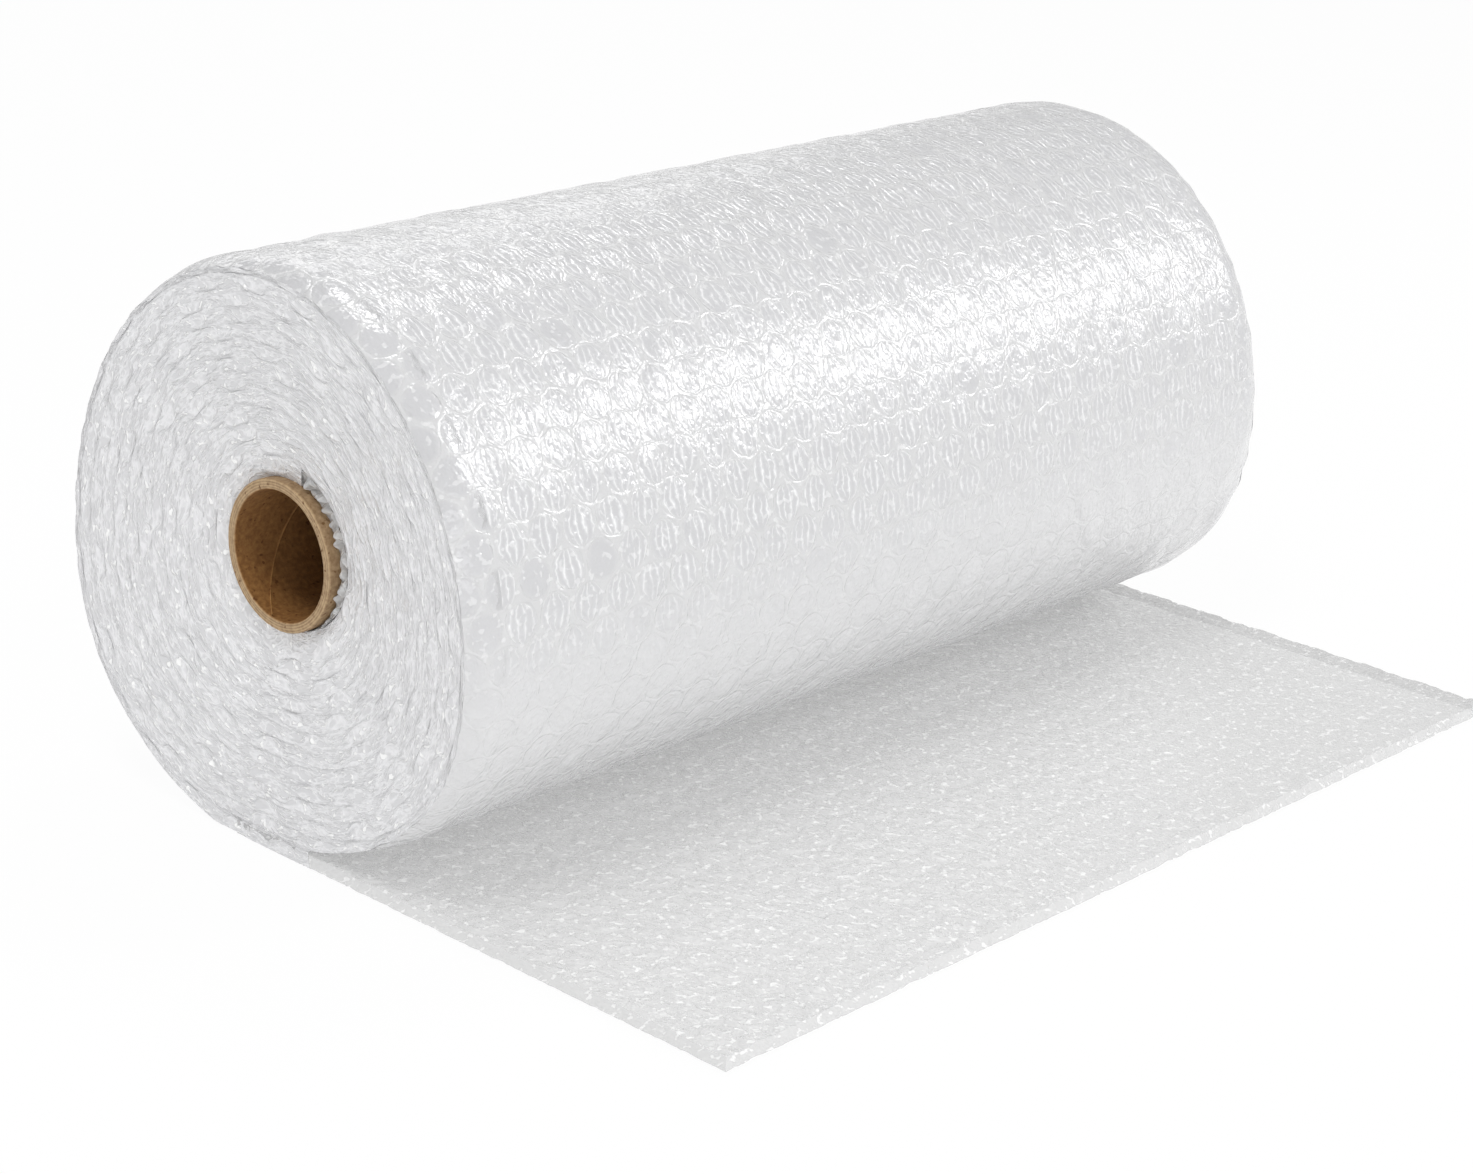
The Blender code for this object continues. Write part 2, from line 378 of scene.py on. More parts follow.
# %% [markdown]
# ## Crumple, and from arrays to a mesh
#
# Film is never quite flat. Adding a few dozen waves with different lengths and directions gives a
# surface that looks random, and yet two points at the same place always move alike, so merged
# points stay together. A Displace modifier could do that too, but other formulas here need the same
# waves, and with numpy they are one line each. The waves come from one seeded generator.
#
# Every piece then goes through the same function, which puts arrays straight into a mesh. Its UV
# map holds the place on the flat sheet in metres, so a pattern keeps its real size on the roll.

# %% Waves
WAVE_COUNT = 40
WAVES_PER_LENGTH = (0.6, 1.8)  # how many fit in the given length, at least and at most
WAVE_PEAK = 1.6


def waves(across, along, across_length, along_length):
    """A sum of sine waves of about these two lengths, from about -1 to 1.

    Each wave has its own lengths, slant and phase. A sum of n sines is about the root of n / 2
    wide, and divided by that it still reaches WAVE_PEAK at its peaks.
    """
    total = 0 * (across + along)
    for _ in range(WAVE_COUNT):
        often = generator.uniform(*WAVES_PER_LENGTH, 2)
        slant = generator.choice([-1, 1])
        phase = generator.uniform(0, TURN)
        sideways = across * often[0] / across_length
        forwards = slant * along * often[1] / along_length
        total = total + np.sin(TURN * (sideways + forwards) + phase)
    return total / math.sqrt(WAVE_COUNT / 2) / WAVE_PEAK


print(f"{WAVE_COUNT} waves in each crumple")

# %% Arrays to a mesh
OUTSIDE_BUBBLES = [9.0, 9.0, 0.0]  # a place nine weld radii away from any bubble


def add_piece(name, points, faces, materials, sheet_places, bubbles=None):
    """A mesh object from arrays. The UV map holds the place on the sheet, across and along, in metres.

    bubbles has three numbers for each corner of each face: the place inside its bubble, in radii,
    and the bubble's own random number. Without it every face counts as lying outside the bubbles.
    """
    mesh = bpy.data.meshes.new(name)
    mesh.vertices.add(len(points))
    mesh.vertices.foreach_set("co", np.ascontiguousarray(points, dtype=np.float32).ravel())
    corners = faces.shape[1]
    mesh.loops.add(faces.size)
    mesh.loops.foreach_set("vertex_index", faces.astype(np.int32).ravel())
    mesh.polygons.add(len(faces))
    mesh.polygons.foreach_set("loop_start", (np.arange(len(faces)) * corners).astype(np.int32))
    for material in materials:
        mesh.materials.append(material)
    mesh.update(calc_edges=True)
    layer = mesh.uv_layers.new(name="sheet")
    layer.data.foreach_set("uv", sheet_places[faces.ravel()].astype(np.float32).ravel())
    if bubbles is None:
        bubbles = np.broadcast_to(OUTSIDE_BUBBLES, (faces.size, 3))
    in_bubble = mesh.attributes.new("bubble", "FLOAT_VECTOR", "CORNER")
    in_bubble.data.foreach_set("vector", np.ascontiguousarray(bubbles, dtype=np.float32).ravel())
    mesh.shade_smooth()
    piece = bpy.data.objects.new(name, mesh)
    bpy.context.scene.collection.objects.link(piece)
    print(f"{name}: {len(faces) * (corners - 2)} triangles")
    return piece


def grid_faces(rows, columns):
    """Quads between neighbours on a grid of points stored row by row."""
    corner = np.arange(rows - 1)[:, None] * columns + np.arange(columns - 1)[None]
    quads = np.stack([corner, corner + columns, corner + columns + 1, corner + 1], axis=-1)
    return quads.reshape(-1, 4)


# %% [markdown]
# ## What film looks like
#
# Packing film is blown low-density polyethylene: clear, soft and glossy, with an index of about
# 1.5. One ply hardly shows, but a roll is many plies with air between them, and each surface sends
# back a little light, so the roll looks white. All those plies could be modelled as glass, but the
# light would have to pass dozens of them. So the outer ply on the roll is drawn opaque and pale,
# which is what the eye gets from all of them together, and only the free end and the film that
# crumples beside the core let the light through. Two plies have four glossy faces, so each film
# has a coat on top of its own gloss.
#
# Each weld shows as a thin dark circle. Inside it the film is gathered into folds that run from one
# end of the bubble to the other, along the sheet, like meridians on a globe: winding pulls the film
# that way and leaves it to spare across. They could be modelled, but they are a tenth of a
# millimetre high, so bump does it. Their light and shade are painted too: a painted highlight on
# each crest, and painted shade in the lobes between. No two bubbles are alike, so each turns its
# folds by its own random number, and a slow noise bends them. Low on the roll the weight of the
# turns above pulls the film tight, and the folds nearly go, and so does their painted light and
# shade, which gives way to a plain grey. Small creases that glare are painted as white glints.

# %% Folds, rings and welds
DRIFT_SIZE = 0.0045  # the slow noise's blotches, in metres
DRIFT_PUSH = 0.4  # how far it pushes circles out of round, in radii
MERIDIANS = 6.5  # how far the sine runs over one radius, in radians
MERIDIAN_NARROWEST = 0.04  # keeps them from meeting in one point at the bubble's ends
WANDER = 4.5  # how far the slow noise bends them
FOLD_SHARPNESS = 2.2
RING_TURNS = 13.0
WELD_NARROWNESS = 12.0  # the dark circle is a twelfth of a radius wide to each side
INSIDE_FADES = (0.75, 1.05)  # these pairs are shares of the weld's radius
FOLDS_FADE = (0.88, 1.03)
SLACK_BUBBLES = (0.02, 0.06)  # bubbles with an own number below this have no folds
FOLD_PATCHES = (0.34, 0.50)  # places where the slow noise is below this have none either
FOLDS_WHEN_TIGHT = 0.12


def bubble_pattern(material, sheet, slack_and_painted_light=None):
    """How far inside a bubble a place is, and its folds, rings and weld line.

    The distance from the bubble's middle, in radii and pushed by the slow noise, gives the inside,
    the rings as its sine, and the weld as a narrow peak at 1. A fold's meridian is across, divided
    by half the chord of a unit circle there. The folds are 1 less the size of a sine of that, to a
    power, which leaves thin crests. The rings go from -1 to 1, and the others from 0 to 1.
    """
    bubble = add(material, "Attribute", output="Vector", attribute_name="bubble")
    across, along, own_number = add(material, "SeparateXYZ", [bubble], output=None)
    along_squared = add(material, "Math", (along, along), operation="MULTIPLY")
    squares = add(material, "Math", (across, across, along_squared), operation="MULTIPLY_ADD")
    round_distance = add(material, "Math", [squares], operation="SQRT")
    drift = blotches(material, sheet, DRIFT_SIZE)
    pushed = add(material, "Math", (drift, 0.5), operation="SUBTRACT")
    distance = add(material, "Math", (pushed, DRIFT_PUSH, round_distance), operation="MULTIPLY_ADD")
    inside = add(material, "MapRange", (distance, *INSIDE_FADES, 1.0, 0.0), **SMOOTH)

    chord_squared = add(material, "Math", (1.0, along_squared), operation="SUBTRACT")
    chord_squared = add(material, "Math", (chord_squared, MERIDIAN_NARROWEST), operation="MAXIMUM")
    half_chord = add(material, "Math", [chord_squared], operation="SQRT")
    meridian = add(material, "Math", (across, half_chord), operation="DIVIDE")
    wander = add(material, "Math", (drift, WANDER), operation="MULTIPLY")
    own_turn = add(material, "Math", (own_number, 3 * TURN, wander), operation="MULTIPLY_ADD")
    bent = add(material, "Math", (meridian, MERIDIANS, own_turn), operation="MULTIPLY_ADD")
    folds = add(material, "Math", [bent], operation="SINE")
    folds = add(material, "Math", [folds], operation="ABSOLUTE")
    folds = add(material, "Math", (1.0, folds), operation="SUBTRACT")
    folds = add(material, "Math", (folds, FOLD_SHARPNESS), operation="POWER")

    has_folds = add(material, "MapRange", (own_number, *SLACK_BUBBLES))
    patchy = add(material, "MapRange", (drift, *FOLD_PATCHES))
    reach = add(material, "MapRange", (distance, *FOLDS_FADE, 1.0, 0.0), **SMOOTH)
    shares = [has_folds, patchy, reach]
    if slack_and_painted_light is not None:
        from_tight = (slack_and_painted_light, 1 - FOLDS_WHEN_TIGHT, FOLDS_WHEN_TIGHT)
        shares.append(add(material, "Math", from_tight, operation="MULTIPLY_ADD"))
    for share in shares:
        folds = add(material, "Math", (folds, share), operation="MULTIPLY")

    rings = add(material, "Math", (distance, RING_TURNS, own_turn), operation="MULTIPLY_ADD")
    rings = add(material, "Math", [rings], operation="SINE")
    rings = add(material, "Math", (rings, inside), operation="MULTIPLY")
    from_weld = add(material, "Math", (distance, 1.0), operation="SUBTRACT")
    from_weld = add(material, "Math", [from_weld], operation="ABSOLUTE")
    from_weld = add(material, "Math", (from_weld, WELD_NARROWNESS), operation="MULTIPLY")
    weld = add(material, "Math", (1.0, from_weld), operation="SUBTRACT")
    weld = add(material, "Math", (weld, 0.0), operation="MAXIMUM")
    return inside, folds, rings, weld


fold_pitch = math.pi / MERIDIANS * WELD_RADIUS
print(f"folds {fold_pitch * 1000:.1f} mm apart in the middle of a bubble")

# %% Film
WELD_DEPTH = 0.00007
GRAIN_STRETCH = (1.0, 1.5, 1.0)
# A real crease glares over a tenth of a millimetre, too little to show, so its glint is painted white
# and drawn 1 mm wide.
GLINT_SIZE = 0.0021
GLINTS_FROM = 0.59
GLINT_SPREAD = 0.07
GLINT_HEIGHT = 0.00018
# Between these two heights on the roll, the folds and their painted light and shade fade out.
TIGHT_BELOW = 0.046  # heights on the roll
SLACK_ABOVE = 0.082
FACING_BLEND = 0.35


# These spots mark where glints are painted white.
def glint_spots(material, place, size, stretch, share_from):
    """Small spots where blotches rise above share_from. They are 1 in the middle and 0 outside."""
    spots = blotches(material, place, size, 1.0, stretch)
    return add(material, "MapRange", (spots, share_from, share_from + GLINT_SPREAD))


def film_material(
    name, weld_colour, lobe_shade_colour, fold_highlight_colour, roughness, fold=0.0, ring=0.0, grain=0.0,
    grain_size=0.0020, glint_strength=0.0, coat_roughness=0.05, see_through=None, tight_colour=None,
):
    """A film with folds and rings in its bubbles, and grain all over. Those three are heights.

    grain_size is in metres too, and glint_strength is how strong the painted white glints are.
    fold_highlight_colour is the fold crests' painted highlight, and lobe_shade_colour the painted
    shade of the lobes between them. see_through is how opaque the film is seen square on and at a
    glancing angle. tight_colour is what it has where it is pulled tight, low on the roll, where the
    painted light and shade of the folds fade out.
    """
    material = new_material(name)
    sheet = add(material, "UVMap", uv_map="sheet")
    slack_and_painted_light = None
    if tight_colour:
        place = add(material, "TexCoord", output="Object")
        above_floor = add(material, "SeparateXYZ", [place], output=2)
        slack_and_painted_light = add(material, "MapRange", (above_floor, TIGHT_BELOW, SLACK_ABOVE), **SMOOTH)
    inside, folds, rings, weld = bubble_pattern(material, sheet, slack_and_painted_light)

    grains = blotches(material, sheet, grain_size, 2.0, GRAIN_STRETCH)
    # White glints are painted here, over a small bump, where creases would glare.
    painted_glints = glint_spots(material, sheet, GLINT_SIZE, (1.0, 1.0, 1.0), GLINTS_FROM)
    height = add(material, "Math", (grains, grain), operation="MULTIPLY")
    weld_height = -WELD_DEPTH if ring else 0.0
    speck_height = GLINT_HEIGHT * glint_strength
    reliefs = ((weld, weld_height), (painted_glints, speck_height), (folds, fold), (rings, ring))
    for relief in reliefs:
        height = add(material, "Math", (*relief, height), operation="MULTIPLY_ADD")
    bump = add(material, "Bump", {"Height": height, "Strength": 1.0, "Distance": 1.0})

    # Painted light: the fold crests get the lighter highlight colour, and the lobes between them the
    # darker shade colour.
    fold_highlight = linear(fold_highlight_colour)
    painted_lobe = add(material, "Mix", {0: folds, 6: linear(lobe_shade_colour), 7: fold_highlight}, **COLOURS)
    welded = add(material, "Mix", {0: folds, 6: linear(weld_colour), 7: fold_highlight}, **COLOURS)
    film = add(material, "Mix", {0: inside, 6: welded, 7: painted_lobe}, **COLOURS)
    # The glints are painted white into the colour.
    glint_share = add(material, "Math", (painted_glints, glint_strength), operation="MULTIPLY")
    film = add(material, "Mix", {0: glint_share, 6: film, 7: linear("FFFFFF")}, **COLOURS)
    # Low on the roll the painted light and shade of the folds give way to the plain tight colour.
    if tight_colour:
        film = add(material, "Mix", {0: slack_and_painted_light, 6: linear(tight_colour), 7: film}, **COLOURS)
    surface = {
        "Base Color": film,
        "Roughness": roughness,
        "IOR": 1.5,
        "Coat Weight": 1.0,
        "Coat Roughness": coat_roughness,
        "Normal": bump,
        "Coat Normal": bump,
    }
    if see_through:
        facing = add(material, "LayerWeight", {"Blend": FACING_BLEND}, output="Facing")
        surface["Alpha"] = add(material, "MapRange", (facing, 0.0, 1.0, *see_through))
    shader = add(material, "BsdfPrincipled", surface)
    add(material, "OutputMaterial", {"Surface": shader}, output=None)
    print(f"{name}: {len(material.node_tree.nodes)} nodes")
    return material


# %% The five films
# The outer turn's two plies on the roll. Pale grey bubbles with thin folds, whose crests are
# painted bright and whose lobes are painted darker, as highlight and shade, glossy, and nearly
# plain where they are tight. A few white glints are painted on. Its grain, 2 mm wide, breaks up
# the highlight's clean edges.
clear_film = film_material(
    "clear_blown_polyethylene", "CCCCCD", "C5C5C7", "F0F0F1", 0.26, fold=0.00014, ring=0.00002,
    grain=0.00042, grain_size=0.0020, glint_strength=0.25, coat_roughness=0.10, tight_colour="D6D6D7",
)
# All the turns below the outer one. Light comes back from so many plies that it is plain milky
# white, with a little grain and faintly lighter painted highlights on the fold crests.
milky_film = film_material(
    "layered_polyethylene", "F4F4F4", "F4F4F4", "F6F6F6", 0.22, fold=0.0001, grain=0.00012,
    grain_size=0.0016,
)
# The free end's bubbled side, with nothing under it but the floor. It is clear enough to look
# grey where it is seen square on, and its cushions are wrinkled. Its glints are painted white,
# and its fold crests a little lighter, as painted highlights.
tail_film = film_material(
    "loose_blown_polyethylene", "C4C4C4", "C4C4C4", "D0D0D0", 0.16, fold=0.00004, ring=0.00003,
    grain=0.00080, grain_size=0.0022, glint_strength=0.8, see_through=(0.45, 0.70),
)
# The free end's flat ply, which lies on the floor. A single clear ply hardly shows.
under_film = film_material(
    "flat_blown_polyethylene", "F0F0F0", "F0F0F0", "F0F0F0", 0.20, grain=0.00020,
    grain_size=0.0040, see_through=(0.12, 0.30),
)
# The last turn beside the core, crushed into sharp small creases, whose sparkle is painted as
# white glints.
crumpled_film = film_material(
    "crumpled_polyethylene", "F6F6F6", "F6F6F6", "F8F8F8", 0.12, grain=0.0016,
    grain_size=0.0020, glint_strength=1.0, see_through=(0.45, 0.90),
)

# %% [markdown]
# ## Cut edges
#
# A knife cut all turns at once, so each end of the roll is a stack of cut film edges. Blown film
# curls where it is cut, and each curl catches the light as a thin bright line that runs along the
# edge for 7 to 9 mm, with tiny flashes between. The curls could be separate strands, but there are
# 8 m of cut edge on the two ends, so a pattern does it: a noise that is stretched along the sheet
# is close to its middle value on long thin loops, and keeping only those gives curls. Their bright
# lines and the flashes are painted highlights, lighter and white in the colour, over a little bump.
# The real film is 0.05 mm thick, too thin to show, so the curls are drawn about 0.2 mm wide.

# %% Cut edge material
CURL_SIZES = ((0.0010, 7.0), (0.0018, 5.0))  # width in metres, and how much longer than wide
CURL_NARROWNESS = 16.0
CURL_HEIGHT = 0.00012
FLASH_SIZE = 0.0008
FLASH_STRETCH = (1.0, 3.5, 1.0)
FLASHES_FROM = 0.60
FLASH_HEIGHT = 0.00018

edge_film = new_material("cut_polyethylene_edges")
edge_sheet = add(edge_film, "UVMap", uv_map="sheet")
curls = []
for size, longer in CURL_SIZES:
    off_middle = blotches(edge_film, edge_sheet, size, 2.0, (1.0, longer, 1.0))
    off_middle = add(edge_film, "Math", (off_middle, 0.5), operation="SUBTRACT")
    off_middle = add(edge_film, "Math", [off_middle], operation="ABSOLUTE")
    off_middle = add(edge_film, "Math", (off_middle, CURL_NARROWNESS), operation="MULTIPLY")
    off_middle = add(edge_film, "Math", (off_middle, 1.0), operation="MINIMUM")
    curls.append(add(edge_film, "Math", (1.0, off_middle), operation="SUBTRACT"))
curl = add(edge_film, "Math", curls, operation="MAXIMUM")
flashes = glint_spots(edge_film, edge_sheet, FLASH_SIZE, FLASH_STRETCH, FLASHES_FROM)
edge_height = add(edge_film, "Math", (curl, CURL_HEIGHT), operation="MULTIPLY")
edge_height = add(edge_film, "Math", (flashes, FLASH_HEIGHT, edge_height), operation="MULTIPLY_ADD")
edge_bump = add(edge_film, "Bump", {"Height": edge_height, "Strength": 1.0, "Distance": 1.0})
# The curls are painted lighter and the flashes white: painted highlights, over a little bump.
lines = {0: curl, 6: linear("D8D8DA"), 7: linear("EEEEF0")}
edge_colour = add(edge_film, "Mix", lines, **COLOURS)
edge_colour = add(edge_film, "Mix", {0: flashes, 6: edge_colour, 7: linear("FFFFFF")}, **COLOURS)
edge_shader = add(edge_film, "BsdfPrincipled", {
    "Base Color": edge_colour,
    "Roughness": 0.18,
    "IOR": 1.5,
    "Coat Weight": 1.0,
    "Coat Roughness": 0.06,
    "Normal": edge_bump,
    "Coat Normal": edge_bump,
})
add(edge_film, "OutputMaterial", {"Surface": edge_shader}, output=None)
print(f"{edge_film.name}: {len(edge_film.node_tree.nodes)} nodes")

# %% [markdown]
# ## The outer turn
#
# On the roll the flat ply faces out, and the cups point to the core. The flat ply is tight over the
# air below it, so each bubble is a shallow dent or swelling inside a round weld, a tenth or two of
# a millimetre deep, and the whole ply waves a little as it goes round. The cups could be modelled
# as well, but they hardly show through, so the outer turn is the flat ply alone, with the folds in
# its material.
#
# Near both ends of the roll nothing holds the film, so its cut edges curl in towards the core. The
# ends of the roll are dished, and the skin that closes them, made further down, has to meet this
# ply's edge. So the curl and the dish are functions that both pieces use.

# %% Curl and dish
EDGE_CURL = 0.0020
EDGE_CURL_REACH = 0.0080
EDGE_CURL_RAMP = 0.5  # radians that the curl takes to fade out before the flat spot
CRINKLE_LENGTH = 0.012
CRINKLE_SHARE = 0.10
CRINKLE_POINTS = 6000
PLY_INSET = 0.0004

FIRST_WOUND_ROW = math.floor(along_at(FLAT_END) / ROW_PITCH)
LAST_OUTER_ROW = math.ceil(along_at(TURN + FLAT_END) / ROW_PITCH)
outer_from = FIRST_WOUND_ROW * ROW_PITCH
outer_to = LAST_OUTER_ROW * ROW_PITCH
crinkle_along = np.linspace(outer_from, outer_to, CRINKLE_POINTS)
crinkle = np.maximum(0, 1 + waves(0 * crinkle_along, crinkle_along, 1, CRINKLE_LENGTH))


def edge_curl(across, along):
    """How far the outer turn's cut edges turn in towards the core: a parabola over the last few mm.

    It fades out on the way to the flat spot, as in the CAD model, and crinkles a little on its way.
    """
    angle = angle_at(along)
    clear = np.minimum(angle - FLAT_END, TURN + FLAT_START - angle) / EDGE_CURL_RAMP
    near_edge = np.maximum(0, 1 - (FILM_WIDTH / 2 - np.abs(across)) / EDGE_CURL_REACH)
    crinkled = 1 + CRINKLE_SHARE * np.interp(along, crinkle_along, crinkle)
    return EDGE_CURL * near_edge ** 2 * np.clip(clear, 0, 1) * crinkled


def dished(depth):
    """How far the cut edges stand back from the roll's ends at a depth in layers: a power of it."""
    return END_DISH * (depth / LAYERS) ** DISH_POWER


def ply_edge_depth(angle, along):
    """How deep the outer ply's cut edge lies below the outside of its own layer, in layers."""
    curled = edge_curl(0 * along + FILM_WIDTH / 2, along)
    return (curled + PLY_INSET) * LAYERS / (outline_radius(angle) - CORE_RADIUS)


print(f"rows {FIRST_WOUND_ROW} to {LAST_OUTER_ROW} lie on the outer turn")

# %% The outer turn
FLAT_STEPS = 12
FLAT_RINGS = (0.5, 0.92, 0.99, 1.06)  # shares of the bubble's radius
DENT_MEAN = 0.00006
DENT_SPREAD = 0.00009
WELD_RISE = 0.00006
BORDER_SINK = 0.00005
WANDERS = ((0.022, 0.035, 0.00022), (0.011, 0.013, 0.00008))  # lengths across and along, height
HELD_REACH = 0.008  # the waves fade out over this much film at the cut edges
EDGE_BUBBLES = 0.95 * BUBBLE_PITCH

outer_centres = bubble_centres(FIRST_WOUND_ROW, LAST_OUTER_ROW)
dent = generator.normal(DENT_MEAN, DENT_SPREAD, len(outer_centres))
weld_rise = 0 * dent + WELD_RISE
border = 0 * dent - BORDER_SINK
flat_heights = np.stack([dent, dent * 0.85, dent * 0.1, weld_rise, 0 * dent, border], axis=-1)
flat_radii = [share * BUBBLE_RADIUS for share in FLAT_RINGS]
flat_ply, flat_faces, flat_bubbles = bubble_sheet(
    outer_centres, flat_radii, flat_heights, FLAT_STEPS, outer_from, outer_to
)
from_edge = FILM_WIDTH / 2 - np.abs(flat_ply[:, 0])
# Half bubbles at the cut edges are open and hold no folds, so their own numbers are made small.
flat_bubbles[from_edge[flat_faces] < EDGE_BUBBLES, 2] *= SLACK_BUBBLES[0]
flat_wander = 0
for across_length, along_length, wave_height in WANDERS:
    flat_wander += waves(flat_ply[:, 0], flat_ply[:, 1], across_length, along_length) * wave_height
flat_wander *= np.clip(from_edge / HELD_REACH, 0, 1)
flat_curl = edge_curl(flat_ply[:, 0], flat_ply[:, 1])
flat_height = flat_ply[:, 2] + flat_wander + flat_curl + PLY_INSET
flat_angle = angle_at(flat_ply[:, 1])
flat_depth = layers_in(flat_angle) + ply_edge_depth(flat_angle, flat_ply[:, 1])
flat_across = flat_ply[:, 0] * (1 - dished(flat_depth) / (FILM_WIDTH / 2))
add_piece(
    "outer_turn",
    place_on_roll(flat_across, flat_ply[:, 1], flat_height),
    flat_faces[:, ::-1],
    [clear_film],
    flat_ply[:, :2],
    flat_bubbles[:, ::-1],
)

# %% [markdown]
# ## The free end
#
# Rolled out on the floor, the sheet shows its other side: rows of little cushions with nearly flat
# tops, some fuller than others. Between them the film hangs in a shallow valley. Bump could hint at
# them, but here they show in profile along the cut, so they are real geometry, with a ring of
# points for every bend of a cushion's side. The piece is closed: its boundary edges are those that
# belong to one triangle only, each drops a wall to the floor, and a fan of triangles closes the
# flat underside. The walls are film as well, and the underside is the clear flat ply. The knife
# leaves the cut a little ragged.

# %% Cushions
VALLEY_HEIGHT = 0.0033
CUSHION_POWER = 2.4
FULLNESS_MEAN = 0.80
FULLNESS_SPREAD = 0.16
FULLNESS_RANGE = (0.3, 1.0)
TAIL_RINGS = np.array([0.0, 0.40, 0.68, 0.88, 0.985, 1.06])  # shares of the bubble's radius
TAIL_WAVE = (0.006, 0.00012)  # length and height of the waves
TAIL_STEPS = 24

tail_to = FIRST_WOUND_ROW * ROW_PITCH
tail_centres = bubble_centres(0, FIRST_WOUND_ROW)
dome = (1 - np.minimum(TAIL_RINGS, 1) ** CUSHION_POWER) ** (1 / CUSHION_POWER)
fullness = generator.normal(FULLNESS_MEAN, FULLNESS_SPREAD, len(tail_centres))
fullness = np.clip(fullness, *FULLNESS_RANGE)
tail_heights = VALLEY_HEIGHT + fullness[:, None] * dome[None] * (FILM_THICKNESS - VALLEY_HEIGHT)
valley = np.full((len(tail_centres), 1), VALLEY_HEIGHT)
tail_heights = np.concatenate([tail_heights, valley], axis=1)
tail_ply, tail_faces, tail_bubbles = bubble_sheet(
    tail_centres, TAIL_RINGS[1:] * BUBBLE_RADIUS, tail_heights, TAIL_STEPS, 0.0, tail_to
)
tail_wander = waves(tail_ply[:, 0], tail_ply[:, 1], TAIL_WAVE[0], TAIL_WAVE[0]) * TAIL_WAVE[1]
tail_height = tail_ply[:, 2] + tail_wander
print(f"{len(tail_centres)} cushions and half cushions on the free end")

# %% The free end, closed
RAGGED_LENGTH = 0.005
RAGGED_DEPTH = 0.0004
ON_THE_CUT = 1e-5
SHARP_FROM = math.radians(60)


def close_below(points, triangles):
    """Drops a wall from every boundary edge to the underside and closes that with a fan."""
    edges = np.concatenate([triangles[:, [0, 1]], triangles[:, [1, 2]], triangles[:, [2, 0]]])
    key = np.sort(edges, axis=1)
    _, first, uses = np.unique(key, axis=0, return_index=True, return_counts=True)
    border = edges[first[uses == 1]]
    count = len(points)
    below = points * (1, 1, 0)
    middle = below[border[:, 0]].mean(axis=0, keepdims=True)
    start, stop = border.T
    walls = np.concatenate([
        np.stack([stop, start, start + count], axis=-1),
        np.stack([stop, start + count, stop + count], axis=-1),
        np.stack([stop + count, start + count, 0 * start + 2 * count], axis=-1),
    ])
    joined = np.concatenate([triangles, walls])
    used, joined = np.unique(joined, return_inverse=True)
    return np.concatenate([points, below, middle])[used], joined.reshape(-1, 3)


ragged = np.abs(waves(tail_ply[:, 0], tail_ply[:, 1], RAGGED_LENGTH, RAGGED_LENGTH)) * RAGGED_DEPTH
on_side = np.abs(tail_ply[:, 0]) > FILM_WIDTH / 2 - ON_THE_CUT
on_front = tail_ply[:, 1] < ON_THE_CUT
tail_across = tail_ply[:, 0] - np.where(on_side, np.sign(tail_ply[:, 0]) * ragged, 0)
tail_along = tail_ply[:, 1] + np.where(on_front, ragged, 0)
tail_sheet = np.stack([tail_across, tail_along, tail_height], axis=-1)
tail_sheet, closed_faces = close_below(tail_sheet, tail_faces)
new_faces = len(closed_faces) - len(tail_faces)
no_bubbles = np.broadcast_to(OUTSIDE_BUBBLES, (new_faces, 3, 3))
free_end = add_piece(
    "free_end",
    place_on_roll(*tail_sheet.T),
    closed_faces,
    [tail_film, under_film],
    tail_sheet[:, :2] + tail_sheet[:, 2:],
    np.concatenate([tail_bubbles, no_bubbles]),
)
border_count = new_faces // 3
kind = np.repeat([0, 0, 1], [len(tail_faces), 2 * border_count, border_count]).astype(np.int32)
free_end.data.polygons.foreach_set("material_index", kind)
free_end.data.set_sharp_from_angle(angle=SHARP_FROM)

# %% [markdown]
# ## The ends of the roll
#
# Looking at the end of the roll, what shows is the cut edge of every turn: two plies that part
# round each bubble that the knife went through and meet between them. Light scatters so much
# between them that the gaps hardly look dark. Each edge could be a thin strip of its own, but the
# gaps would look black. So each end is one skin, a long strip wound in the same spiral as the
# sheet. Across the strip it has a ridge for the flat ply's edge, a groove, a ridge for the formed
# ply's edge, which swings round the cut bubbles, and a groove to the next turn. No turn stands
# exactly as far out as its neighbour.
#
# The outermost strip is smooth, because its rim is what the eye follows round the roll. It starts
# where the outer ply's own cut edge ends, and on the flat spot it covers that ply's edge.

# %% A turn's cut edge
STATIONS = 420
RIDGE = 0.0003
LOOSE_REACH = 1.2  # radians before the film's inner end, where the skin stops
LOOSENS_OVER = 1.3  # radians
CUT_BUBBLE_POWER = 2.2
SWING_REACH = 0.42  # as a share of the turn's thickness
OUTERMOST_RELIEF = 0.35
COVER_OUT = 0.00005  # how far the skin stands out over the outer ply's edge on the flat spot
COVER_BEFORE = 0.004
# Mean, spread, and length along the sheet in metres.
HOW_FULL = (0.75, 0.3, 0.05)
HOW_FAR_OUT = (0.55, 0.45, 0.030)
HOW_LOOSE = (0.0, 0.10, 0.018)
LEAST_FULL = 0.2

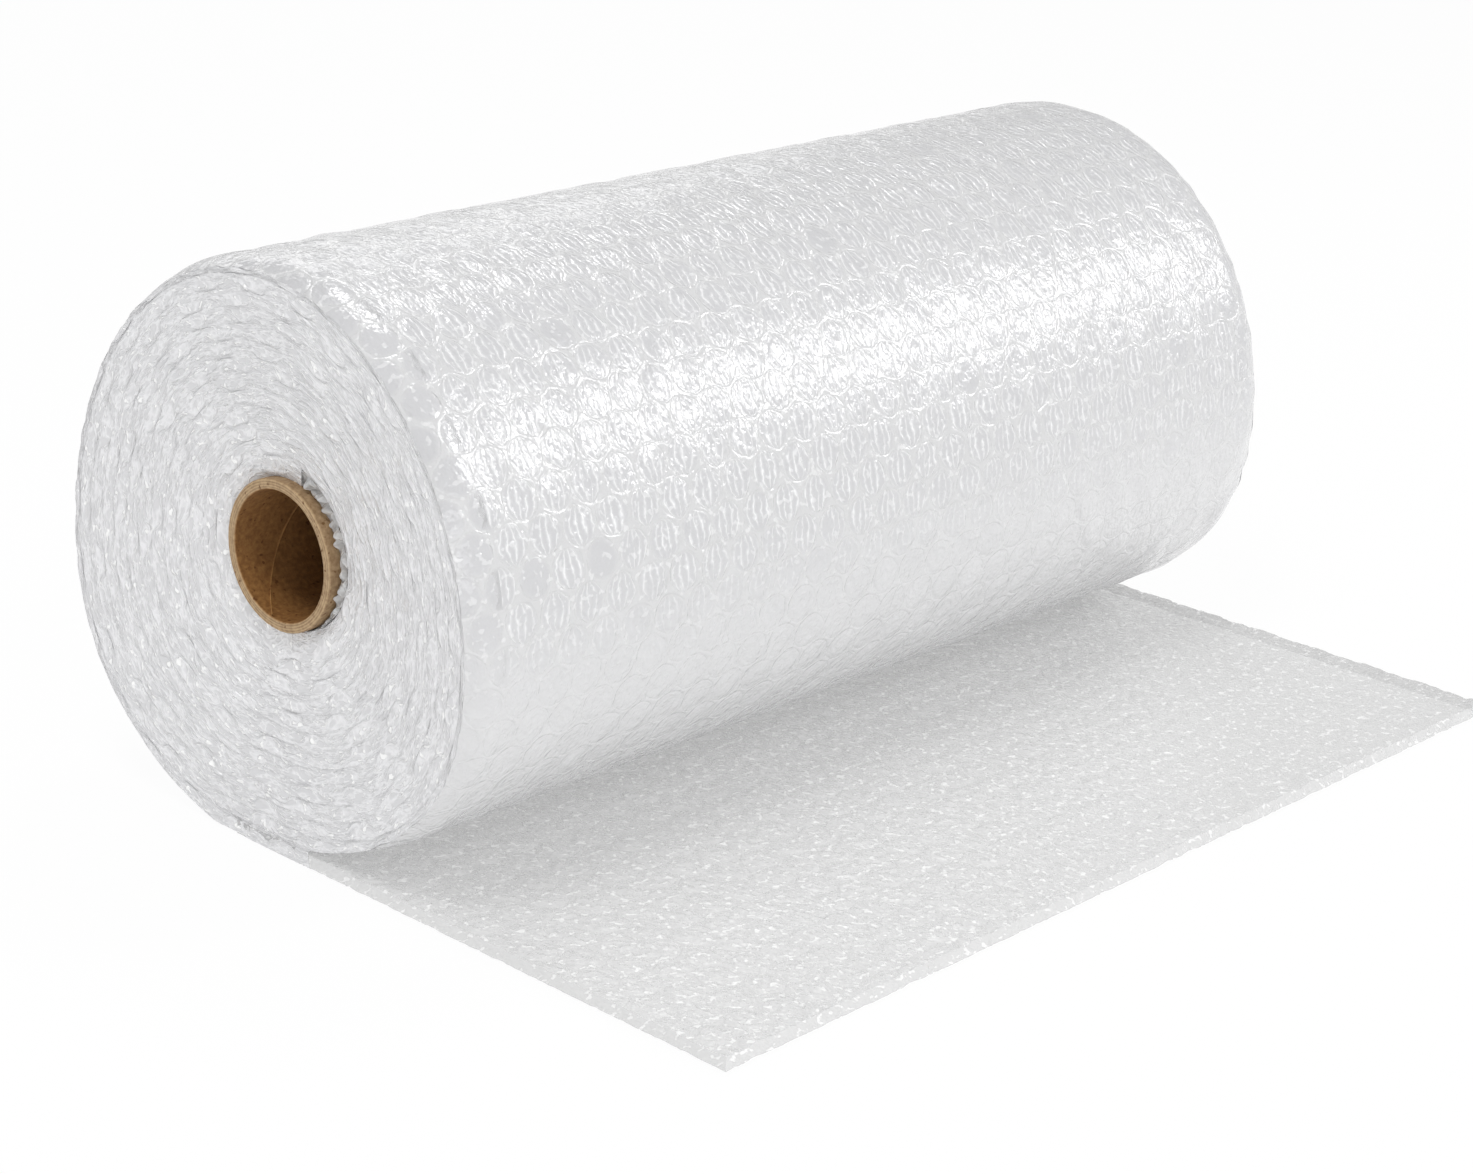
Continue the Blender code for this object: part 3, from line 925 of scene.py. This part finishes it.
covered_from = angle_at(tail_to - COVER_BEFORE)
skin_angle = np.arange(FLAT_START, INNER_END_ANGLE - LOOSE_REACH, TURN / STATIONS)
skin_along = along_at(skin_angle)
skin_columns = (  # share of the turn's thickness, share of the swing, share of the ridge's height
    (0.00, 0.0, 0.0),
    (0.10, 0.0, 0.8),
    (0.20, 0.0, 1.0),
    (0.30, 0.3, 0.4),
    (0.38, 0.7, 0.0),
    (0.44, 1.0, 0.8),
    (0.52, 1.0, 1.0),
    (0.64, 0.9, 0.3),
    (1.00, 0.0, 0.0),
)
FLAT_PLY_TO = 0.35  # these two are shares of the turn's thickness as well
FORMED_PLY_TO = 0.9


def room_inside(angle):
    """How many turns' thickness the innermost turn fills. It loosens until it fills the room there."""
    loosened = np.clip((angle - INNER_END_ANGLE + TURN) / LOOSENS_OVER, 0, 1)
    return 1 + (LAYERS - layers_in(angle) - 1) * loosened


def uneven(mean, spread, length):
    """Values that wander along the spiral: the mean, plus waves of about this length times spread."""
    return mean + spread * waves(0 * skin_along, skin_along, 1, length)


def end_skin(side):
    """One end's skin, as rows of points across the strip, one for each of the skin's columns.

    A column's depth in layers is its share of the turn's thickness, plus its share of the swing,
    which is a superellipse round each cut bubble. It stands back from the end of the roll by the
    dish, and by the ridge's height less its own share of that.
    """
    layers = layers_in(skin_angle)
    outline = outline_radius(skin_angle)
    cut_row = np.round(skin_along / ROW_PITCH / 2) * 2 * ROW_PITCH
    cut = np.minimum(np.abs(skin_along - cut_row) / BUBBLE_RADIUS, 1)
    full = np.clip(uneven(*HOW_FULL), LEAST_FULL, 1)
    swing = (1 - cut ** CUT_BUBBLE_POWER) ** (1 / CUT_BUBBLE_POWER) * full
    stand = uneven(*HOW_FAR_OUT)
    loose = uneven(*HOW_LOOSE)
    outermost = skin_angle < TURN + FLAT_START
    on_floor = skin_angle < covered_from
    covered = np.where(outermost & ~on_floor, ply_edge_depth(skin_angle, skin_along), 0)
    columns = []
    for share, swings, height in skin_columns:
        at_seam = share in (0.0, 1.0)
        moved = share + swings * swing * SWING_REACH + (0 if at_seam else loose)
        moved = covered + (1 - covered) * np.maximum(moved, 0)
        depth = layers + moved * room_inside(skin_angle)
        radius = outline - (outline - CORE_RADIUS) * depth / LAYERS
        recess = RIDGE * (1 - height * stand)
        if share < FLAT_PLY_TO:
            recess = np.where(outermost, 0, recess)
        elif share < FORMED_PLY_TO:
            recess = np.where(outermost, OUTERMOST_RELIEF * recess, recess)
        if share < FORMED_PLY_TO:
            recess = np.where(on_floor, -COVER_OUT, recess)
        x = side * (FILM_WIDTH / 2 - dished(depth) - recess)
        y = radius * np.sin(skin_angle)
        z = CORE_HEIGHT - radius * np.cos(skin_angle)
        columns.append(np.stack([x, y, z], axis=-1))
    return np.stack(columns, axis=1)


print(f"{len(skin_angle)} stations along each end's spiral")

# %% The two ends
for side, name in ((-1, "near_end"), (1, "far_end")):
    skin = end_skin(side)
    faces = grid_faces(*skin.shape[:2])
    if side < 0:
        faces = faces[:, ::-1]
    share = np.array([column[0] for column in skin_columns])
    places = np.stack(np.broadcast_arrays(share[None] * WOUND_PITCH, skin_along[:, None]), axis=-1)
    add_piece(name, skin.reshape(-1, 3), faces, [edge_film], places.reshape(-1, 2))

# %% [markdown]
# ## The wound body
#
# Behind the edges and under the outer turn the roll is one milky mass. The hidden turns could all
# be there, but nobody sees them, and at the outer turn's count they would take two million
# triangles. So the body is one ring with the same sagging outline, a few mm inside it, that ends
# where the edges begin. At the core each end has a pocket, which gives the crumpled film there some
# depth behind it.

# %% The wound body
BODY_STEPS = 180
BODY_INSET = 0.0030
BODY_LAYERS_IN = 1.35
CORE_CLEARANCE = 0.0004
POCKET_DEPTH = 0.0060
POCKET_WIDTH = 0.0042
BODY_MEAN_RADIUS = 0.07
body_angle = np.arange(BODY_STEPS) * TURN / BODY_STEPS


def ring_body():
    """A ring's rims in order, joined by quads into a closed body, with a pocket at each end."""
    outer = film_radius(body_angle, BODY_LAYERS_IN)
    middle = 0 * outer + CORE_RADIUS + POCKET_WIDTH
    inner = 0 * outer + CORE_RADIUS + CORE_CLEARANCE
    at_rim = FILM_WIDTH / 2 - BODY_INSET
    at_core = at_rim - END_DISH
    deep = at_core - POCKET_DEPTH
    rims = (
        (-at_rim, outer), (at_rim, outer), (at_core, middle), (deep, middle), (deep, inner),
        (-deep, inner), (-deep, middle), (-at_core, middle),
    )
    loops = []
    for x, radius in rims:
        y = radius * np.sin(body_angle)
        z = CORE_HEIGHT - radius * np.cos(body_angle)
        loops.append(np.stack([x + 0 * y, y, z], axis=-1))
    here = np.arange(BODY_STEPS)
    after = (here + 1) % BODY_STEPS
    faces = []
    for rim in range(len(rims)):
        this, following = rim * BODY_STEPS, (rim + 1) % len(rims) * BODY_STEPS
        quad = (this + here, following + here, following + after, this + after)
        faces.append(np.stack(quad, axis=-1))
    return loops, np.concatenate(faces)


body_loops, body_faces = ring_body()
body_points = np.concatenate(body_loops)
body_around = np.tile(body_angle, len(body_loops)) * BODY_MEAN_RADIUS
body_places = np.stack([body_points[:, 0], body_around], axis=-1)
add_piece("wound_body", body_points, body_faces, [milky_film], body_places)

# %% [markdown]
# ## The loose inner end
#
# The film's inner end lies loose on the core. It is crushed, and stands in the gap between the core
# and the first tidy turn. A cloth simulation could crush it, but the gap is only 4 mm wide, and a
# strip that goes up and down in two sets of waves looks the same at this size: it leaves small
# loops and hollows, and the see-through film does the rest.

# %% The loose inner end
LOOSE_FROM = INNER_END_ANGLE - 2.1
LOOSE_TO = INNER_END_ANGLE + 1.3
LOOSE_STATIONS = 320
LOOSE_COLUMNS = 9
LOOSE_WIDTH = 0.004
LOOSE_CLEARANCE = 0.0002
LOOSE_OUT = 0.0006  # how far its outer edge stands out of the dish
LOOSE_LEAN = 0.0012  # how much less its inner edge does
CRUSH = (0.009, 0.006, 0.22)  # lengths around and across, and the push as a share of the width
RISE = (0.006, 0.004, 0.0010)  # lengths around and across, and the height
loose_angle = np.linspace(LOOSE_FROM, LOOSE_TO, LOOSE_STATIONS)
loose_share = np.linspace(0, 1, LOOSE_COLUMNS)


def loose_end(side):
    """A crumpled strip that fills the room between the core and the innermost turn.

    Along it the angle runs, across it the share of the way from the core out. Both the place
    across and the height go up and down in waves, which leaves little loops and hollows.
    """
    turned, share = np.meshgrid(loose_angle, loose_share, indexing="ij")
    along = turned * CORE_RADIUS
    lap = film_radius(turned - TURN, layers_in(turned - TURN) + room_inside(turned - TURN))
    lap = np.where(turned < INNER_END_ANGLE, film_radius(turned, layers_in(turned)), lap)
    inner = CORE_RADIUS + LOOSE_CLEARANCE
    crush = waves(along, share * LOOSE_WIDTH, CRUSH[0], CRUSH[1]) * CRUSH[2]
    radius = inner + (lap - inner) * (share + crush * np.sin(math.pi * share))
    rise = waves(along, share * LOOSE_WIDTH, RISE[0], RISE[1]) * RISE[2]
    rise = rise * np.sin(math.pi * (0.1 + 0.8 * share))
    x = side * (FILM_WIDTH / 2 - END_DISH + LOOSE_OUT - LOOSE_LEAN * (1 - share) + rise)
    points = np.stack([x, radius * np.sin(turned), CORE_HEIGHT - radius * np.cos(turned)], axis=-1)
    places = np.stack([share * LOOSE_WIDTH, along], axis=-1)
    return points.reshape(-1, 3), places.reshape(-1, 2)


for side, name in ((-1, "loose_end_near"), (1, "loose_end_far")):
    loose_points, loose_places = loose_end(side)
    faces = grid_faces(LOOSE_STATIONS, LOOSE_COLUMNS)
    if side > 0:
        faces = faces[:, ::-1]
    add_piece(name, loose_points, faces, [crumpled_film], loose_places)

# %% [markdown]
# ## The cardboard core
#
# The core's shape stays as it is in the CAD model. The real one is kraft board: strips of brown
# paper, glued and wound in a spiral. On its cut ends the eye sees the plies as fine lines round the
# bore, about 0.65 mm apart, with dark flecks of bark and a matt, slightly fibrous surface. Inside,
# the lining is a browner paper. An image of board would do this as well, but nodes keep the plies
# in rings round the core's own axis, at their real size. The fibres are finer than 0.1 mm, too fine
# to show, so they are drawn as blotches 1.1 mm wide.

# %% Kraft board
CORE_WALL = 0.0026
BORE_RADIUS = CORE_RADIUS - CORE_WALL
PLY_PITCH = 0.00065
PLY_CONTRAST = 0.16
FIBRE_SIZE = 0.0011
FIBRE_HEIGHT = 0.00012
BOARD_SHARES = (0.22, 0.72)  # the board is darkest below the first and lightest above the second
FLECK_SIZE = 0.0014
FLECK_SHARES = (0.66, 0.74)
LINING_FADE = 0.0003

kraft = new_material("spiral_wound_kraft_board")
board_place = add(kraft, "TexCoord", output="Object")
off_axis = add(kraft, "VectorMath", (board_place, (0, 0, -CORE_HEIGHT)), operation="ADD")
_, off_y, off_z = add(kraft, "SeparateXYZ", [off_axis], output=None)
off_z_squared = add(kraft, "Math", (off_z, off_z), operation="MULTIPLY")
from_axis = add(kraft, "Math", (off_y, off_y, off_z_squared), operation="MULTIPLY_ADD")
from_axis = add(kraft, "Math", [from_axis], operation="SQRT")
plies = add(kraft, "Math", (from_axis, TURN / PLY_PITCH), operation="MULTIPLY")
plies = add(kraft, "Math", [plies], operation="SINE")
fibres = blotches(kraft, board_place, FIBRE_SIZE, 4.0)
board_share = add(kraft, "Math", (plies, PLY_CONTRAST, fibres), operation="MULTIPLY_ADD")
lightness = add(kraft, "MapRange", (board_share, *BOARD_SHARES))
flecks = blotches(kraft, board_place, FLECK_SIZE, 1.0)
flecks = add(kraft, "MapRange", (flecks, *FLECK_SHARES))
in_bore = add(kraft, "MapRange", (from_axis, BORE_RADIUS, BORE_RADIUS + LINING_FADE, 1.0, 0.0))
board = add(kraft, "Mix", {0: lightness, 6: linear("8C7051"), 7: linear("BDA27E")}, **COLOURS)
flecked = add(kraft, "Mix", {0: flecks, 6: board, 7: linear("6E4D2C")}, **COLOURS)
lining = {0: in_bore, 6: flecked, 7: linear("E0C296")}
lined = add(kraft, "Mix", lining, **COLOURS, blend_type="MULTIPLY")
fibre_height = add(kraft, "Math", (board_share, FIBRE_HEIGHT), operation="MULTIPLY")
kraft_bump = add(kraft, "Bump", {"Height": fibre_height, "Strength": 1.0, "Distance": 1.0})
kraft_shader = add(kraft, "BsdfPrincipled", {
    "Base Color": lined,
    "Roughness": 0.75,
    "Normal": kraft_bump,
})
add(kraft, "OutputMaterial", {"Surface": kraft_shader}, output=None)
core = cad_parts["core_tube"]
core.data.materials.clear()
core.data.materials.append(kraft)
print(f"{kraft.name}: {len(kraft.node_tree.nodes)} nodes")

# %% [markdown]
# ## The core's seam
#
# Inside the bore the lining's two edges overlap, and the overlap runs round as a raised line, once
# in 68 mm. It could be bump as well, but a raised line inside a dark tube shows only by its
# shadow, so it is a real low ridge: a five-point profile carried along a helix.

# %% The core's seam
SEAM_START = math.radians(10)
SEAM_TURN_PER_METRE = math.radians(5300)
SEAM_HALF_WIDTH = 0.00045
SEAM_HEIGHT = 0.00045
SEAM_SUNK = 0.0001
SEAM_SHORT = 0.0006  # the seam stops this far inside the core's ends
SEAM_STATIONS = 900
seam_profile = (  # place sideways in half widths, and rise above the bore's wall
    (-1.0, -SEAM_SUNK),
    (-0.5, 0.7 * SEAM_HEIGHT),
    (0.0, SEAM_HEIGHT),
    (0.5, 0.7 * SEAM_HEIGHT),
    (1.0, -SEAM_SUNK),
)
core_half = core_high.x - SEAM_SHORT
seam_x = np.linspace(-core_half, core_half, SEAM_STATIONS)
seam_angle = SEAM_START + (seam_x + core_half) * SEAM_TURN_PER_METRE
seam_rows = []
for sideways, rise in seam_profile:
    bore_angle = seam_angle + sideways * SEAM_HALF_WIDTH / BORE_RADIUS
    y = (BORE_RADIUS - rise) * np.sin(bore_angle)
    z = CORE_HEIGHT - (BORE_RADIUS - rise) * np.cos(bore_angle)
    seam_rows.append(np.stack([seam_x, y, z], axis=-1))
seam_points = np.stack(seam_rows, axis=1).reshape(-1, 3)
seam_faces = grid_faces(SEAM_STATIONS, len(seam_profile))
add_piece("core_seam", seam_points, seam_faces, [kraft], seam_points[:, :2])

# %% [markdown]
# ## What each piece rides on and stands for
#
# The roll has no moving parts, so every piece rides on the one body, root. The film's pieces stand
# for the CAD model's film. The seam only adds to the core, which stays.

# %% Ride and replace
film_pieces = (
    "outer_turn", "free_end", "near_end", "far_end", "wound_body", "loose_end_near",
    "loose_end_far",
)
for name in film_pieces:
    piece = bpy.data.objects[name]
    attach(piece, "root")
    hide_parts("bubble_film")
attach(bpy.data.objects["core_seam"], "root")
print(f"{len(film_pieces)} pieces stand for the film")

# %% [markdown]
# ## Floor and background
#
# Clear film on a plain floor shows the floor through it, so what it lies on decides how it looks.
# The picture has it on pure white, with hardly a shadow. Lighting a matt floor up to white would
# drown the film in light. So the floor is a light table: part matt paper that takes a shadow, part
# glow, and nearly all glow where the camera or a reflection sees it. The world is white in the same
# way, and dimmer where it only lights. In a reflection it is brighter near the horizon than
# overhead, as in a studio with white walls and a dark ceiling, which gives the film its grey parts.

# %% Floor
FLOOR_HALF = 4
FLOOR_DROP = 0.0002  # keeps the film from lying in the very same plane
TABLE_GLOW = 0.32  # the share of it that glows, where it only lights
TABLE_SEEN = 0.95  # and where the camera or a reflection sees it

floor_mesh = bpy.data.meshes.new("floor")
floor_corners = [(-FLOOR_HALF, -FLOOR_HALF, 0), (FLOOR_HALF, -FLOOR_HALF, 0)]
floor_corners += [(FLOOR_HALF, FLOOR_HALF, 0), (-FLOOR_HALF, FLOOR_HALF, 0)]
floor_mesh.from_pydata(floor_corners, [], [(0, 1, 2, 3)])
floor = bpy.data.objects.new("floor", floor_mesh)
bpy.context.scene.collection.objects.link(floor)
floor.location.z = -FLOOR_DROP
paper = new_material("white_light_table")
paper_light = add(paper, "Emission", {"Color": (1, 1, 1, 1), "Strength": 1.0})
paper_matt = add(paper, "BsdfDiffuse", {"Color": linear("F4F4F4")})
rays = add(paper, "LightPath", output=None)
seen = add(paper, "Math", (rays["Is Camera Ray"], rays["Is Glossy Ray"]), operation="MAXIMUM")
glow = add(paper, "Math", (seen, TABLE_SEEN - TABLE_GLOW, TABLE_GLOW), operation="MULTIPLY_ADD")
paper_mix = add(paper, "MixShader", (glow, paper_matt, paper_light))
add(paper, "OutputMaterial", {"Surface": paper_mix}, output=None)
floor_mesh.materials.append(paper)
print(f"floor {2 * FLOOR_HALF} m wide")

# %% White studio
AMBIENT = 0.43
LOW_IN_GLOSS = 0.66
HIGH_IN_GLOSS = 0.35
HORIZON_TO_OVERHEAD = (0.25, 0.60)  # as the height of the direction, from 0 to 1

world = bpy.data.worlds.new("white_studio")
bpy.context.scene.world = world
world.use_nodes = True
world.node_tree.nodes.clear()
rays = add(world, "LightPath", output=None)
seen = add(world, "Math", (rays["Is Camera Ray"], rays["Is Transmission Ray"]), operation="MAXIMUM")
strength = add(world, "Math", (seen, 1.0 - AMBIENT, AMBIENT), operation="MULTIPLY_ADD")
direction = add(world, "TexCoord", output="Generated")
sky_height = add(world, "SeparateXYZ", [direction], output=2)
gloss_levels = (LOW_IN_GLOSS - AMBIENT, HIGH_IN_GLOSS - AMBIENT)
in_gloss = add(world, "MapRange", (sky_height, *HORIZON_TO_OVERHEAD, *gloss_levels))
strength = add(world, "Math", (rays["Is Glossy Ray"], in_gloss, strength), operation="MULTIPLY_ADD")
sky = add(world, "Background", {"Color": (1, 1, 1, 1), "Strength": strength})
add(world, "OutputWorld", {"Surface": sky}, output=None)
print(f"the world lights the roll at {AMBIENT} of white")

# %% [markdown]
# ## Lamps
#
# Gloss shows the lamps themselves, so their places follow from the highlights. The long bright band
# along the roll is one wide softbox, turned so that it lies along the roll, with a small one that
# carries it on at the far end. A third makes the flashes near the rim. The others fill in from the
# left, the back and the front. Two of them light the film without showing in its gloss, because the
# photograph has no highlight where they would put one.

# %% Lamps
ROLL_MIDDLE = Vector((0, -0.02, 0.07))
ALONG_HIGHLIGHT = (0.87, 0.09, -0.48)


def softbox(name, place, width, height, radiance, long_way=None, in_gloss=True):
    """A soft lamp at a place, facing the roll. Its power is radiance times its area times pi.

    long_way is the direction that its width runs in. Without it the lamp stands level.
    """
    lamp = bpy.data.lights.new(name, "AREA")
    lamp.shape = "RECTANGLE"
    lamp.size = width
    lamp.size_y = height
    lamp.energy = radiance * width * height * math.pi
    made = bpy.data.objects.new(name, lamp)
    bpy.context.scene.collection.objects.link(made)
    back = (Vector(place) - ROLL_MIDDLE).normalized()
    wide = Vector(long_way) if long_way else Vector((0, 0, 1)).cross(back)
    wide = (wide - back * wide.dot(back)).normalized()
    turned = Matrix((wide, back.cross(wide), back)).transposed()
    made.matrix_world = Matrix.Translation(place) @ turned.to_4x4()
    made.visible_camera = False
    made.visible_glossy = in_gloss
    print(f"{name}: {lamp.energy:.2f} W")


# The long highlight, its far end, and the flashes.
softbox("long_softbox", (0.862, -0.706, 0.753), 0.65, 0.31, 6.7, long_way=ALONG_HIGHLIGHT)
softbox("far_softbox", (1.23, -0.668, 0.550), 0.20, 0.26, 2.1, long_way=ALONG_HIGHLIGHT)
softbox("spark_softbox", (0.46, 0.30, 1.25), 0.40, 0.34, 6.8)
# The light from above and into the core's bore, and the light from all sides.
softbox("top_softbox", (-0.45, -0.10, 1.15), 0.36, 0.36, 12.0, in_gloss=False)
softbox("left_softbox", (-1.10, 0.65, 0.60), 0.28, 0.28, 7.0)
softbox("back_softbox", (0.75, 1.25, 0.75), 1.0, 0.5, 1.0)
softbox("front_softbox", (-0.55, -1.4, 0.45), 1.6, 0.40, 1.6)
softbox("low_softbox", (-0.30, -1.4, 0.12), 1.6, 0.16, 7.0, in_gloss=False)
bpy.context.scene.view_settings.view_transform = "Standard"
